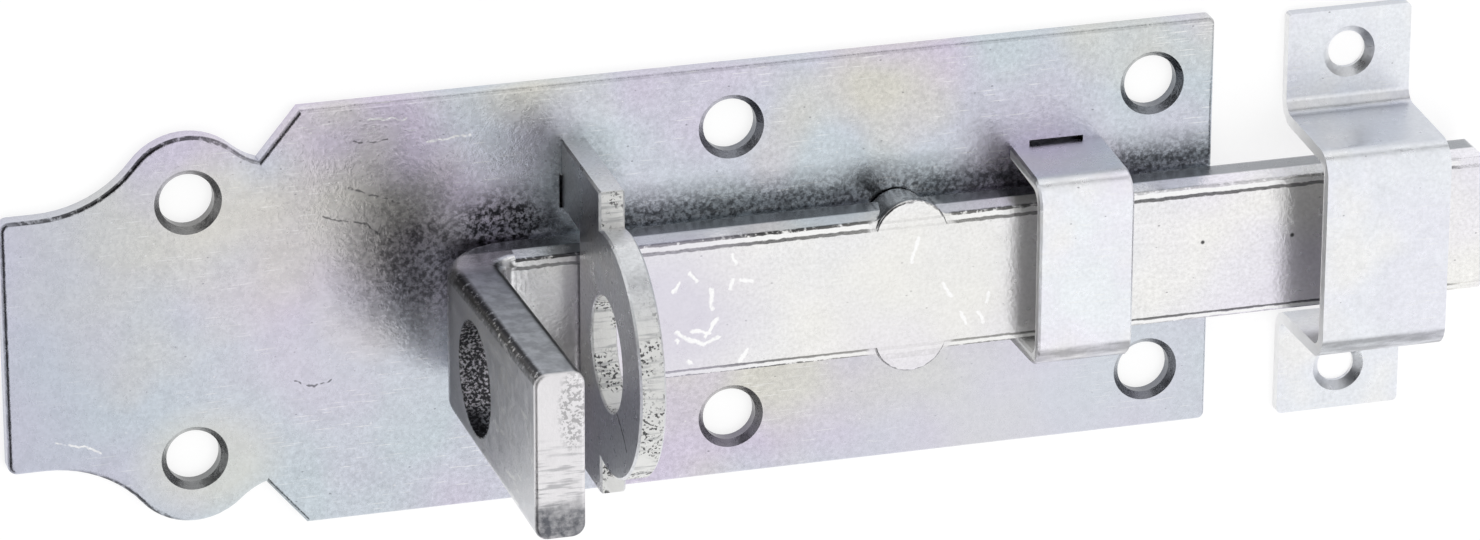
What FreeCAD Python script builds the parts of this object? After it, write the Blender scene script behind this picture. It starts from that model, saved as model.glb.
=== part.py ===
import FreeCAD, Part
import math
import os

import Sketcher
from FreeCAD import Placement, Rotation, Vector

# A flat door bolt for a padlock, lying on its back. The back of the plate is
# Z = 0 and the bolt slides along X, towards the keeper at +X. The origin is
# the middle of the plate's back. All sizes are in millimetres.
#
# Places along X are measured from the closing end of the plate, which is the
# end next to the keeper. Only the shape of the tail is measured from the tail.

SIZES = [
    ("plate_length", 140.0, "plate, tail to closing end"),
    ("plate_width", 49.5, "plate across"),
    ("plate_gauge", 2.0, "plate sheet thickness"),
    ("plate_corner", 0.8, "corner radius at the closing end"),
    ("shoulder_ahead", 33.7, "tail to the square shoulder"),
    ("notch_ahead", 29.1, "tail to the bottom of the notch"),
    ("lobe_ahead", 21.0, "tail to the lobe and its screw hole"),
    ("lobe_rise", 15.3, "centre line to the lobe and its screw hole"),
    ("lobe_radius", 7.7, "lobe round the screw hole"),
    ("lead_radius", 8.0, "hollow curve between lobe and notch"),
    ("lead_angle", 47.0, "where that curve leaves the lobe, in degrees"),
    ("ogee_radius", 14.0, "hollow curve between lobe and tail"),
    ("tail_half", 15.0, "half the width of the tail"),
    ("tail_corner", 1.1, "corner radius of the tail"),
    ("edge_roll", 0.55, "rolled front edge of the pressed plate"),
    ("edge_break", 0.25, "blunted edges of staple, strap and keeper"),
    ("row_end", 7.45, "closing end to the first pair of screw holes"),
    ("row_pitch", 49.6, "first pair to second pair of screw holes"),
    ("row_rise", 17.6, "centre line to those screw holes"),
    ("screw_hole", 6.2, "screw hole diameter"),
    ("screw_mouth", 7.6, "screw hole diameter at the face"),
    ("screw_angle", 90.0, "countersink angle in degrees"),
    ("bolt_drop", 1.25, "bolt below the plate's centre line, as it hangs in its guides"),
    ("bolt_lift", 0.3, "running gap between plate and bolt"),
    ("bolt_width", 17.2, "bolt bar across"),
    ("bolt_gauge", 6.2, "bolt bar thickness"),
    ("bolt_reach", 31.1, "bolt beyond the closing end"),
    ("bolt_corner", 1.3, "corner radius at the bolt's nose"),
    ("bolt_round", 1.5, "rounded long edges of bar, bend and lug"),
    ("coin_width", 0.75, "coined ledge along the bar's front edges"),
    ("coin_run", 0.3, "width of the wall between face and ledge"),
    ("coin_depth", 0.35, "drop from the face to the ledge"),
    ("coin_fall", 0.1, "further fall across the ledge"),
    ("coin_arris", 0.3, "rounded outer edge of the ledge"),
    ("flank_lean", 0.5, "lean of the flank below the ledge"),
    ("flank_depth", 2.45, "depth at which the flank starts to lean"),
    ("lug_back", 91.8, "closing end to the outer face of the lug"),
    ("lug_tip", 44.5, "door face to the lug's end"),
    ("lug_lean", 0.7, "how far the lug leans in at its end"),
    ("tip_width", 19.3, "lug across at its end, where it is beaten wider"),
    ("tip_gauge", 5.6, "lug thickness at its end"),
    ("tip_shift", 0.55, "end of the lug above the bar's middle"),
    ("tip_round", 0.4, "blunted edges of the lug's end"),
    ("bend_inner", 2.0, "inside radius of the lug's bend"),
    ("stop_back", 37.85, "closing end to the middle of the stops"),
    ("stop_radius", 4.35, "round front of the stops"),
    ("stop_rise", 1.8, "stop beyond the bar's edge"),
    ("stop_root", 2.0, "root of the stop inside the ledge"),
    ("stop_web", 1.6, "hollow curves at the stop's two roots"),
    ("stop_rim", 0.25, "blunted front rim of the stops"),
    ("stop_draft", 9.0, "draft of the swaged stop in degrees"),
    ("shackle_hole", 12.8, "padlock hole in lug and staple"),
    ("shackle_height", 20.7, "door face to the padlock hole"),
    ("staple_back", 75.2, "closing end to the middle of the staple"),
    ("staple_gauge", 2.95, "staple thickness"),
    ("staple_half", 18.0, "half the width of the staple's feet"),
    ("staple_front", 17.85, "door face to the front of the feet"),
    ("ear_radius", 13.9, "round ear of the staple"),
    ("slot_half", 10.05, "half the width of the staple's opening"),
    ("slot_gap", 0.9, "opening in front of the bolt"),
    ("tenon_width", 4.0, "tenon along the foot"),
    ("tenon_gap", 0.3, "tenon or tab to its slot, on each side"),
    ("peen_depth", 0.8, "depth of the hammered heads"),
    ("peen_angle", 25.0, "flare of the hammered heads in degrees"),
    ("strap_back", 18.78, "closing end to the middle of the guide strap"),
    ("strap_width", 11.1, "guide strap along the bolt"),
    ("strap_gauge", 1.5, "guide strap sheet"),
    ("strap_foot_half", 11.7, "half the strap's width at the plate"),
    ("strap_front_half", 11.2, "half the strap's width at its front"),
    ("strap_front", 13.5, "door face to the strap's front"),
    ("strap_bend", 1.6, "inside radius of the strap's bends"),
    ("tab_width", 5.8, "strap tab along the bolt"),
    ("tab_gap", 0.5, "slot beyond the tab, away from the bolt"),
    ("keeper_drop", 0.75, "keeper below the plate's centre line"),
    ("keeper_ahead", 16.5, "closing end to the middle of the keeper"),
    ("keeper_width", 14.86, "keeper along the bolt"),
    ("keeper_half", 24.7, "half the height of the keeper"),
    ("keeper_gauge", 1.4, "keeper sheet"),
    ("keeper_foot_half", 11.6, "half the opening between the keeper's feet"),
    ("keeper_front_half", 12.5, "half the width of the keeper's front"),
    ("keeper_front", 15.5, "door face to the keeper's front"),
    ("keeper_bend", 1.6, "inside radius of the keeper's bends"),
    ("keeper_corner", 0.6, "corner radius of the keeper's feet"),
    ("keeper_hole_rise", 19.5, "keeper's middle to its screw holes"),
    ("keeper_hole", 4.4, "keeper's screw hole diameter"),
    ("keeper_mouth", 6.2, "keeper's screw hole at the face"),
]

doc = FreeCAD.newDocument("door_bolt")

sheet = doc.addObject("Spreadsheet::Sheet", "Sizes")
for row, (alias, size, meaning) in enumerate(SIZES, start=1):
    sheet.set(f"A{row}", alias)
    sheet.set(f"B{row}", str(size))
    sheet.set(f"C{row}", meaning)
    sheet.setAlias(f"B{row}", alias)
doc.recompute()

NAMES = {alias for alias, _, _ in SIZES}


def formula(text):
    """The expression text with every size name pointed at the sheet."""
    words = []
    word = ""
    for letter in text + " ":
        if letter.isalnum() or letter == "_":
            word += letter
        else:
            words.append("Sizes." + word if word in NAMES else word)
            words.append(letter)
            word = ""
    return "".join(words).strip()


def number(text):
    """The value of an expression in sizes, in millimetres or degrees."""
    found = sheet.evalExpression(formula(text))
    return float(getattr(found, "Value", found))


def bind(thing, prop, text):
    """Ties a property of a feature to an expression in sizes."""
    thing.setExpression(prop, formula(text))


def new_body(label):
    body = doc.addObject("PartDesign::Body", label)
    body.Label = label
    return body


def origin_item(body, role):
    """One of the body's own planes or axes."""
    return next(item for item in body.Origin.OriginFeatures if item.Role == role)


def new_sketch(body, name, role, lift="0"):
    """A sketch on one of the body's planes, lifted along the plane's normal."""
    sketch = body.newObject("Sketcher::SketchObject", name)
    sketch.AttachmentSupport = [(origin_item(body, role), "")]
    sketch.MapMode = "FlatFace"
    if lift != "0":
        sketch.AttachmentOffset = Placement(Vector(0, 0, number(lift)), Rotation())
        bind(sketch, "AttachmentOffset.Base.z", lift)
    return sketch


def spot(across, up):
    return Vector(number(across), number(up), 0)


def fix(sketch, kind, references, text):
    """A dimension of the sketch, driven by an expression in sizes."""
    index = sketch.addConstraint(Sketcher.Constraint(kind, *references, number(text)))
    sketch.setExpression(f"Constraints[{index}]", formula(text))


def pin(sketch, item, end, across, up):
    """Holds one point of the sketch at a place given from its origin."""
    for axis, kind, text in ((-2, "DistanceX", across), (-1, "DistanceY", up)):
        if text == "0":
            sketch.addConstraint(Sketcher.Constraint("PointOnObject", item, end, axis))
        else:
            fix(sketch, kind, (-1, 1, item, end), text)


def outline(sketch, corners, arcs=None):
    """A closed outline through the corners, each held at its own place.

    Edge number n runs from corner n to the next one. It is straight, unless
    arcs gives it a centre and a radius, and then it takes the short way round.
    """
    arcs = arcs or {}
    count = len(corners)
    points = [spot(*corner) for corner in corners]
    edges = []
    for index in range(count):
        start = points[index]
        finish = points[(index + 1) % count]
        ends = (1, 2)
        edge = Part.LineSegment(start, finish)
        if index in arcs:
            across, up, radius = arcs[index]
            centre = spot(across, up)
            begin = math.atan2(start.y - centre.y, start.x - centre.x)
            finish_angle = math.atan2(finish.y - centre.y, finish.x - centre.x)
            if (finish_angle - begin) % (2 * math.pi) > math.pi:
                begin, finish_angle = finish_angle, begin
                ends = (2, 1)
            ring = Part.Circle(centre, Vector(0, 0, 1), number(radius))
            edge = Part.ArcOfCircle(ring, begin, finish_angle)
        edges.append((sketch.addGeometry(edge, False), ends))
    for index, (item, ends) in enumerate(edges):
        after, after_ends = edges[(index + 1) % count]
        sketch.addConstraint(Sketcher.Constraint("Coincident", item, ends[1], after, after_ends[0]))
        pin(sketch, item, ends[0], *corners[index])
        if index in arcs:
            fix(sketch, "Radius", (item,), arcs[index][2])


def rectangle(sketch, left, right, low, high):
    outline(sketch, [(left, low), (right, low), (right, high), (left, high)])


def circle(sketch, across, up, radius):
    item = sketch.addGeometry(Part.Circle(spot(across, up), Vector(0, 0, 1), number(radius)), False)
    pin(sketch, item, 3, across, up)
    fix(sketch, "Radius", (item,), radius)


def rounded_bar(sketch, middle, half, low, high, radius):
    """A rectangle with four round corners."""
    left = f"{middle} - {half}"
    right = f"{middle} + {half}"
    corners = [
        (f"{left} + {radius}", low),
        (f"{right} - {radius}", low),
        (right, f"{low} + {radius}"),
        (right, f"{high} - {radius}"),
        (f"{right} - {radius}", high),
        (f"{left} + {radius}", high),
        (left, f"{high} - {radius}"),
        (left, f"{low} + {radius}"),
    ]
    arcs = {
        1: (f"{right} - {radius}", f"{low} + {radius}", radius),
        3: (f"{right} - {radius}", f"{high} - {radius}", radius),
        5: (f"{left} + {radius}", f"{high} - {radius}", radius),
        7: (f"{left} + {radius}", f"{low} + {radius}", radius),
    }
    outline(sketch, corners, arcs)


def pad(body, sketch, length, reverse=False, taper=None):
    """Thickens a sketch along its normal, or against it."""
    feature = body.newObject("PartDesign::Pad", sketch.Name + "_pad")
    feature.Profile = sketch
    feature.Reversed = reverse
    bind(feature, "Length", length)
    if taper:
        bind(feature, "TaperAngle", taper)
    body.Tip = feature
    doc.recompute()
    return feature


def cut(body, sketch, depth=None, reverse=False, taper=None):
    """Cuts a sketch out of the solid and makes sure that something went."""
    before = body.Shape.Volume
    feature = body.newObject("PartDesign::Pocket", sketch.Name + "_cut")
    feature.Profile = sketch
    feature.Reversed = reverse
    if depth:
        bind(feature, "Length", depth)
    else:
        feature.Type = "ThroughAll"
        feature.Midplane = True
    if taper:
        bind(feature, "TaperAngle", taper)
    body.Tip = feature
    doc.recompute()
    if body.Shape.Volume > before - 0.01:
        raise RuntimeError(sketch.Name + " cuts nothing")
    return feature


def screw_holes(body, sketch, width, mouth, reverse=False):
    """Drills a countersunk hole through the sheet at each circle of a sketch."""
    before = body.Shape.Volume
    doc.recompute()
    feature = body.newObject("PartDesign::Hole", sketch.Name + "_drill")
    feature.Profile = sketch
    feature.Reversed = reverse
    feature.DepthType = "ThroughAll"
    feature.HoleCutType = "Countersink"
    feature.HoleCutCustomValues = True
    bind(feature, "Diameter", width)
    bind(feature, "HoleCutDiameter", mouth)
    bind(feature, "HoleCutCountersinkAngle", "screw_angle")
    body.Tip = feature
    doc.recompute()
    if body.Shape.Volume > before - 0.01:
        raise RuntimeError(sketch.Name + " drills nothing")
    return feature


def mirror(body, features, role):
    feature = body.newObject("PartDesign::Mirrored", features[0].Name + "_mirror")
    feature.Originals = features
    feature.MirrorPlane = (origin_item(body, role), [""])
    body.Tip = feature
    doc.recompute()
    return feature


def edges_of(shape, test):
    """Names of the edges whose two ends and middle all pass a test."""
    names = []
    for index, edge in enumerate(shape.Edges, start=1):
        ends = [vertex.Point for vertex in edge.Vertexes]
        middle = edge.valueAt((edge.FirstParameter + edge.LastParameter) / 2)
        if all(test(point) for point in [*ends, middle]):
            names.append(f"Edge{index}")
    return names


def faces_of(shape, test):
    """Names of the faces whose every corner passes a test."""
    names = []
    for index, face in enumerate(shape.Faces, start=1):
        if all(test(vertex.Point) for vertex in face.Vertexes):
            names.append(f"Face{index}")
    return names


def dress(body, kind, names, prop, size):
    """A fillet or chamfer on named edges or faces of the body's last feature."""
    if not names:
        raise RuntimeError("no edges for a " + kind + " on " + body.Label)
    base = body.Tip
    feature = body.newObject("PartDesign::" + kind, f"{body.Label}_{kind}_{len(body.Group)}")
    feature.Base = (base, names)
    bind(feature, prop, size)
    body.Tip = feature
    doc.recompute()
    return feature


def near(value, text, slack=0.01):
    return abs(value - number(text)) < slack


# Heights and places that several pieces share.
END = "plate_length / 2"
BAR_BACK = "(plate_gauge + bolt_lift)"
BAR_FRONT = "(plate_gauge + bolt_lift + bolt_gauge)"
STAPLE_LEFT = f"({END} - staple_back - staple_gauge / 2)"
STAPLE_RIGHT = f"({END} - staple_back + staple_gauge / 2)"
STRAP_LEFT = f"({END} - strap_back - strap_width / 2)"
STRAP_INNER = "(strap_foot_half - strap_gauge)"
LUG_OUTER = f"({END} - lug_back)"
BEND_END = f"({END} - lug_back + bend_inner + bolt_gauge)"
BEND_TOP = f"({BAR_FRONT} + bend_inner)"
BAR_MIDDLE = "(0 - bolt_drop)"
LEDGE = "(plate_gauge + bolt_lift + bolt_gauge - coin_depth - coin_fall)"
LEDGE_HALF = "(bolt_width / 2 - flank_lean)"
TIP_MIDDLE = "(tip_shift - bolt_drop)"
KEEPER_MIDDLE = "(0 - keeper_drop)"
KEEPER_LEFT = f"({END} + keeper_ahead - keeper_width / 2)"


def tenon_slots(sketch):
    """The two slots that take the staple's tenons, above and below the bolt."""
    for side in ("", "0 - "):
        rectangle(
            sketch,
            f"{STAPLE_LEFT} - tenon_gap",
            f"{STAPLE_RIGHT} + tenon_gap",
            f"{side}slot_half",
            f"{side}(slot_half + tenon_width)",
        )


def tab_slots(sketch):
    """The two slots that take the guide strap's tabs."""
    for side in ("", "0 - "):
        rectangle(
            sketch,
            f"{END} - strap_back - tab_width / 2 - tenon_gap",
            f"{END} - strap_back + tab_width / 2 + tenon_gap",
            f"{side}{STRAP_INNER}",
            f"{side}(strap_foot_half + tab_gap)",
        )


def plate_outline(sketch):
    """Upper half of the plate: square body, notch, lobe, ogee and narrow tail."""
    lobe_across = f"lobe_ahead - {END}"
    lead_across = f"{lobe_across} + (lobe_radius + lead_radius) * cos(lead_angle)"
    lead_up = "lobe_rise + (lobe_radius + lead_radius) * sin(lead_angle)"
    notch_across = f"notch_ahead - {END}"
    notch_up = f"{lead_up} - sqrt(pow(lead_radius; 2) - pow({notch_across} - ({lead_across}); 2))"
    climb = "(tail_half + ogee_radius - lobe_rise)"
    run = f"sqrt(pow(lobe_radius + ogee_radius; 2) - pow({climb}; 2))"
    share = "lobe_radius / (lobe_radius + ogee_radius)"
    outline(
        sketch,
        [
            (END, "0"),
            (END, "plate_width / 2 - plate_corner"),
            (f"{END} - plate_corner", "plate_width / 2"),
            (f"shoulder_ahead - {END}", "plate_width / 2"),
            (notch_across, notch_up),
            (
                f"{lobe_across} + lobe_radius * cos(lead_angle)",
                "lobe_rise + lobe_radius * sin(lead_angle)",
            ),
            (f"{lobe_across} - {run} * {share}", f"lobe_rise + {climb} * {share}"),
            (f"{lobe_across} - {run}", "tail_half"),
            (f"tail_corner - {END}", "tail_half"),
            (f"0 - {END}", "tail_half - tail_corner"),
            (f"0 - {END}", "0"),
        ],
        {
            1: (f"{END} - plate_corner", "plate_width / 2 - plate_corner", "plate_corner"),
            4: (lead_across, lead_up, "lead_radius"),
            5: (lobe_across, "lobe_rise", "lobe_radius"),
            6: (f"{lobe_across} - {run}", "tail_half + ogee_radius", "ogee_radius"),
            8: (f"tail_corner - {END}", "tail_half - tail_corner", "tail_corner"),
        },
    )


def make_plate():
    """The pressed plate with its screw holes and the slots for staple and strap."""
    body = new_body("base_plate")
    half = new_sketch(body, "plate_half", "XY_Plane")
    plate_outline(half)
    blank = pad(body, half, "plate_gauge")
    mirror(body, [blank], "XZ_Plane")
    rim = edges_of(body.Shape, lambda p: near(p.z, "plate_gauge"))
    dress(body, "Fillet", rim, "Radius", "edge_roll")

    holes = new_sketch(body, "plate_holes", "XY_Plane", "plate_gauge")
    for side in ("", "0 - "):
        circle(holes, f"{END} - row_end", f"{side}row_rise", "screw_hole / 2")
        circle(holes, f"{END} - row_end - row_pitch", f"{side}row_rise", "screw_hole / 2")
        circle(holes, f"lobe_ahead - {END}", f"{side}lobe_rise", "screw_hole / 2")
    screw_holes(body, holes, "screw_hole", "screw_mouth")

    for name, draw in (("tenon", tenon_slots), ("tab", tab_slots)):
        slots = new_sketch(body, f"{name}_slots", "XY_Plane")
        draw(slots)
        cut(body, slots)
        mouths = new_sketch(body, f"{name}_peens", "XY_Plane", "peen_depth")
        draw(mouths)
        cut(body, mouths, "peen_depth", taper="peen_angle")
    return body


def make_staple():
    """The upright plate that guides the bolt and carries the padlock ear."""
    body = new_body("padlock_staple")
    half = new_sketch(body, "staple_half_outline", "YZ_Plane", STAPLE_LEFT)
    opening = f"{BAR_FRONT} + slot_gap"
    ear_foot = "sqrt(pow(ear_radius; 2) - pow(shackle_height - staple_front; 2))"
    corners = [
        ("0", opening),
        ("slot_half", opening),
        ("slot_half", "peen_depth"),
        ("slot_half + tenon_width", "peen_depth"),
        ("slot_half + tenon_width", "plate_gauge"),
        ("staple_half", "plate_gauge"),
        ("staple_half", "staple_front"),
        (ear_foot, "staple_front"),
        ("0", "shackle_height + ear_radius"),
    ]
    outline(half, corners, {7: ("0", "shackle_height", "ear_radius")})
    blank = pad(body, half, "staple_gauge")
    mirror(body, [blank], "XZ_Plane")

    hole = new_sketch(body, "staple_hole", "YZ_Plane")
    circle(hole, "0", "shackle_height", "shackle_hole / 2")
    cut(body, hole)

    sides = faces_of(body.Shape, lambda p: near(p.x, STAPLE_LEFT))
    sides += faces_of(body.Shape, lambda p: near(p.x, STAPLE_RIGHT))
    dress(body, "Chamfer", sides, "Size", "edge_break")

    heads = new_sketch(body, "staple_peens", "XY_Plane", "peen_depth")
    for side in ("", "0 - "):
        low = f"{side}slot_half"
        high = f"{side}(slot_half + tenon_width)"
        rectangle(heads, STAPLE_LEFT, STAPLE_RIGHT, low, high)
    pad(body, heads, "peen_depth", reverse=True, taper="peen_angle")
    return body


def make_strap():
    """The bent sheet strap that guides the bolt at the closing end."""
    body = new_body("guide_strap")
    half = new_sketch(body, "strap_half", "YZ_Plane", STRAP_LEFT)
    outline(half, [
        ("0", "strap_front - strap_gauge"),
        ("strap_front_half - strap_gauge", "strap_front - strap_gauge"),
        (STRAP_INNER, "plate_gauge"),
        ("strap_foot_half", "plate_gauge"),
        ("strap_front_half", "strap_front"),
        ("0", "strap_front"),
    ])
    blank = pad(body, half, "strap_width")
    mirror(body, [blank], "XZ_Plane")
    outside = edges_of(
        body.Shape,
        lambda p: near(p.z, "strap_front") and near(abs(p.y), "strap_front_half"),
    )
    dress(body, "Fillet", outside, "Radius", "strap_bend + strap_gauge")
    inside = edges_of(
        body.Shape,
        lambda p: near(p.z, "strap_front - strap_gauge")
        and near(abs(p.y), "strap_front_half - strap_gauge"),
    )
    dress(body, "Fillet", inside, "Radius", "strap_bend")
    sides = faces_of(body.Shape, lambda p: near(p.x, STRAP_LEFT))
    sides += faces_of(body.Shape, lambda p: near(p.x, f"{STRAP_LEFT} + strap_width"))
    dress(body, "Chamfer", sides, "Size", "edge_break")

    tab_steps = (
        ("strap_tabs", "plate_gauge", "plate_gauge - peen_depth", None),
        ("strap_tab_heads", "peen_depth", "peen_depth", "peen_angle"),
    )
    for name, top, length, taper in tab_steps:
        tabs = new_sketch(body, name, "XY_Plane", top)
        for side in ("", "0 - "):
            rectangle(
                tabs,
                f"{END} - strap_back - tab_width / 2",
                f"{END} - strap_back + tab_width / 2",
                f"{side}{STRAP_INNER}",
                f"{side}strap_foot_half",
            )
        pad(body, tabs, length, reverse=True, taper=taper)
    return body


def make_bolt():
    """The flat bar: coined front edges, bent lug at the tail, two swaged stops."""
    body = new_body("sliding_bolt")
    half = "bolt_width / 2"
    right = [
        (half, BAR_BACK),
        (half, f"{BAR_FRONT} - flank_depth"),
        (LEDGE_HALF, LEDGE),
        (f"{LEDGE_HALF} - coin_width", f"{BAR_FRONT} - coin_depth"),
        (f"{LEDGE_HALF} - coin_width - coin_run", BAR_FRONT),
    ]
    section = new_sketch(body, "bar_section", "YZ_Plane", BEND_END)
    upper = [(f"{BAR_MIDDLE} + {across}", up) for across, up in right]
    lower = [(f"{BAR_MIDDLE} - ({across})", up) for across, up in reversed(right)]
    outline(section, upper + lower)
    pad(body, section, "bolt_reach + lug_back - bend_inner - bolt_gauge")

    def long_edges(across, height):
        middle = number(BAR_MIDDLE)
        return edges_of(body.Shape, lambda p: near(p.z, height) and near(abs(p.y - middle), across))

    dress(body, "Fillet", long_edges(half, BAR_BACK), "Radius", "bolt_round")
    dress(body, "Fillet", long_edges(LEDGE_HALF, LEDGE), "Radius", "coin_arris")

    turn = new_sketch(body, "bend_section", "YZ_Plane", BEND_END)
    rounded_bar(turn, BAR_MIDDLE, half, BAR_BACK, BAR_FRONT, "bolt_round")
    axis = turn.addGeometry(Part.LineSegment(spot("0", BEND_TOP), spot("bolt_width", BEND_TOP)), True)
    pin(turn, axis, 1, "0", BEND_TOP)
    pin(turn, axis, 2, "bolt_width", BEND_TOP)
    bend = body.newObject("PartDesign::Revolution", "lug_bend")
    bend.Profile = turn
    bend.ReferenceAxis = (turn, ["Axis0"])
    bend.Angle = 90
    body.Tip = bend
    doc.recompute()
    if body.Shape.BoundBox.XMin > number(f"{BEND_END} - bend_inner"):
        bend.Reversed = True
        doc.recompute()

    foot = new_sketch(body, "lug_foot", "XY_Plane", BEND_TOP)
    lug_section(foot, f"{LUG_OUTER} + bolt_gauge / 2", "bolt_gauge", BAR_MIDDLE, "bolt_width")
    end = new_sketch(body, "lug_end", "XY_Plane", "lug_tip")
    lug_section(end, f"{LUG_OUTER} + lug_lean + tip_gauge / 2", "tip_gauge", TIP_MIDDLE, "tip_width")
    loft(body, foot, end)
    tip = faces_of(body.Shape, lambda p: near(p.z, "lug_tip"))
    dress(body, "Fillet", tip, "Radius", "tip_round")

    hole = new_sketch(body, "lug_hole", "YZ_Plane")
    circle(hole, BAR_MIDDLE, "shackle_height", "shackle_hole / 2")
    cut(body, hole)

    stops = new_sketch(body, "stops", "XY_Plane", LEDGE)
    fronts = new_sketch(body, "stop_fronts", "XY_Plane", BAR_FRONT)
    for side in ("", "0 - "):
        stop_outline(stops, side)
        circle(
            fronts,
            f"{END} - stop_back",
            f"{BAR_MIDDLE} + {side}(bolt_width / 2 + stop_rise - stop_radius)",
            "stop_radius",
        )
    pad(body, stops, f"{LEDGE} - {BAR_BACK}", reverse=True, taper="0 - stop_draft")
    pad(body, fronts, "coin_depth + coin_fall", reverse=True, taper="0 - stop_draft")

    def on_rim(point):
        across = point.x - number(f"{END} - stop_back")
        up = abs(point.y - number(BAR_MIDDLE)) - number("bolt_width / 2 + stop_rise - stop_radius")
        return near(point.z, BAR_FRONT) and near(math.hypot(across, up), "stop_radius")

    dress(body, "Fillet", edges_of(body.Shape, on_rim), "Radius", "stop_rim")

    nose = new_sketch(body, "nose_corners", "XY_Plane")
    for side in ("", "0 - "):
        nose_corner(nose, side)
    cut(body, nose)
    return body


def lug_section(sketch, across, gauge, up, width):
    """The lug cut across: a bar with round edges, standing on the bend or at its end."""
    rounded_bar(
        sketch,
        across,
        f"{gauge} / 2",
        f"({up} - {width} / 2)",
        f"({up} + {width} / 2)",
        "bolt_round",
    )


def loft(body, first, last):
    """Joins two sketches by one solid that runs straight from one to the other."""
    feature = body.newObject("PartDesign::AdditiveLoft", first.Name + "_loft")
    feature.Profile = (first, [""])
    feature.Sections = [(last, [""])]
    feature.Ruled = True
    body.Tip = feature
    doc.recompute()
    return feature


def stop_outline(sketch, side):
    """One stop at the height of the ledge: a round front with hollow roots."""
    middle = f"({END} - stop_back)"
    foot = f"({BAR_MIDDLE} + {side}{LEDGE_HALF})"
    root = f"{BAR_MIDDLE} + {side}({LEDGE_HALF} - stop_root)"
    radius = "(stop_radius - (coin_depth + coin_fall) * tan(stop_draft))"
    sink = f"({LEDGE_HALF} - bolt_width / 2 - stop_rise + stop_radius)"
    reach = f"({radius} + stop_web)"
    spread = f"sqrt(pow({reach}; 2) - pow({sink} + stop_web; 2))"
    share = f"{radius} / {reach}"
    touch_across = f"{spread} * {share}"
    touch_up = f"{BAR_MIDDLE} + {side}({LEDGE_HALF} - {sink} + ({sink} + stop_web) * {share})"
    web_up = f"{BAR_MIDDLE} + {side}({LEDGE_HALF} + stop_web)"
    centre_up = f"{BAR_MIDDLE} + {side}({LEDGE_HALF} - {sink})"
    outline(
        sketch,
        [
            (f"{middle} - {spread}", foot),
            (f"{middle} - {touch_across}", touch_up),
            (f"{middle} + {touch_across}", touch_up),
            (f"{middle} + {spread}", foot),
            (f"{middle} + {spread}", root),
            (f"{middle} - {spread}", root),
        ],
        {
            0: (f"{middle} - {spread}", web_up, "stop_web"),
            1: (middle, centre_up, radius),
            2: (f"{middle} + {spread}", web_up, "stop_web"),
        },
    )


def nose_corner(sketch, side):
    """What is cut away to round one corner of the bolt's nose."""
    end = f"{END} + bolt_reach"
    before = f"{end} - bolt_corner"
    beyond = f"{end} + bolt_corner"
    edge = f"{BAR_MIDDLE} + {side}(bolt_width / 2)"
    inside = f"{BAR_MIDDLE} + {side}(bolt_width / 2 - bolt_corner)"
    outside = f"{BAR_MIDDLE} + {side}(bolt_width / 2 + bolt_corner)"
    outline(
        sketch,
        [(before, edge), (before, outside), (beyond, outside), (beyond, inside), (end, inside)],
        {4: (before, inside, "bolt_corner")},
    )


def make_keeper():
    """The hat-shaped strap that the bolt's nose enters."""
    body = new_body("keeper")
    profile = new_sketch(body, "keeper_profile", "YZ_Plane", KEEPER_LEFT)
    right = [
        ("keeper_half", "0"),
        ("keeper_half", "keeper_gauge"),
        ("keeper_foot_half + keeper_gauge", "keeper_gauge"),
        ("keeper_front_half", "keeper_front"),
    ]
    under = [
        ("keeper_front_half - keeper_gauge", "keeper_front - keeper_gauge"),
        ("keeper_foot_half", "0"),
    ]
    corners = [(f"{KEEPER_MIDDLE} + {across}", up) for across, up in right]
    corners += [(f"{KEEPER_MIDDLE} - ({across})", up) for across, up in reversed(right)]
    corners += [(f"{KEEPER_MIDDLE} - ({across})", up) for across, up in reversed(under)]
    corners += [(f"{KEEPER_MIDDLE} + {across}", up) for across, up in under]
    outline(profile, corners)
    pad(body, profile, "keeper_width")

    def bend_edges(half, height):
        middle = number(KEEPER_MIDDLE)
        return edges_of(body.Shape, lambda p: near(p.z, height) and near(abs(p.y - middle), half))

    outer = "keeper_bend + keeper_gauge"
    for half, height, radius in (
        ("keeper_front_half", "keeper_front", outer),
        ("keeper_foot_half", "0", outer),
        ("keeper_front_half - keeper_gauge", "keeper_front - keeper_gauge", "keeper_bend"),
        ("keeper_foot_half + keeper_gauge", "keeper_gauge", "keeper_bend"),
    ):
        dress(body, "Fillet", bend_edges(half, height), "Radius", radius)

    def foot_corner(point):
        at_end = near(abs(point.y - number(KEEPER_MIDDLE)), "keeper_half")
        left = near(point.x, KEEPER_LEFT)
        right_side = near(point.x, f"{KEEPER_LEFT} + keeper_width")
        return at_end and (left or right_side)

    upright = []
    for name in edges_of(body.Shape, foot_corner):
        edge = body.Shape.getElement(name)
        if edge.BoundBox.ZLength > number("keeper_gauge") / 2:
            upright.append(name)
    dress(body, "Fillet", upright, "Radius", "keeper_corner")

    holes = new_sketch(body, "keeper_holes", "XY_Plane", "keeper_gauge")
    for side in ("", "0 - "):
        up = f"{KEEPER_MIDDLE} + {side}keeper_hole_rise"
        circle(holes, f"{END} + keeper_ahead", up, "keeper_hole / 2")
    screw_holes(body, holes, "keeper_hole", "keeper_mouth")
    return body


def check(bodies):
    """Stops if any object of the document failed or any piece is not one solid."""
    doc.recompute()
    for item in doc.Objects:
        if "Invalid" in item.State or "Error" in item.State:
            raise RuntimeError(f"{item.Label} failed: {item.State}")
    for body in bodies:
        shape = body.Shape
        if shape.isNull() or not shape.isValid() or len(shape.Solids) != 1:
            raise RuntimeError(f"{body.Label} is not one valid solid")


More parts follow.
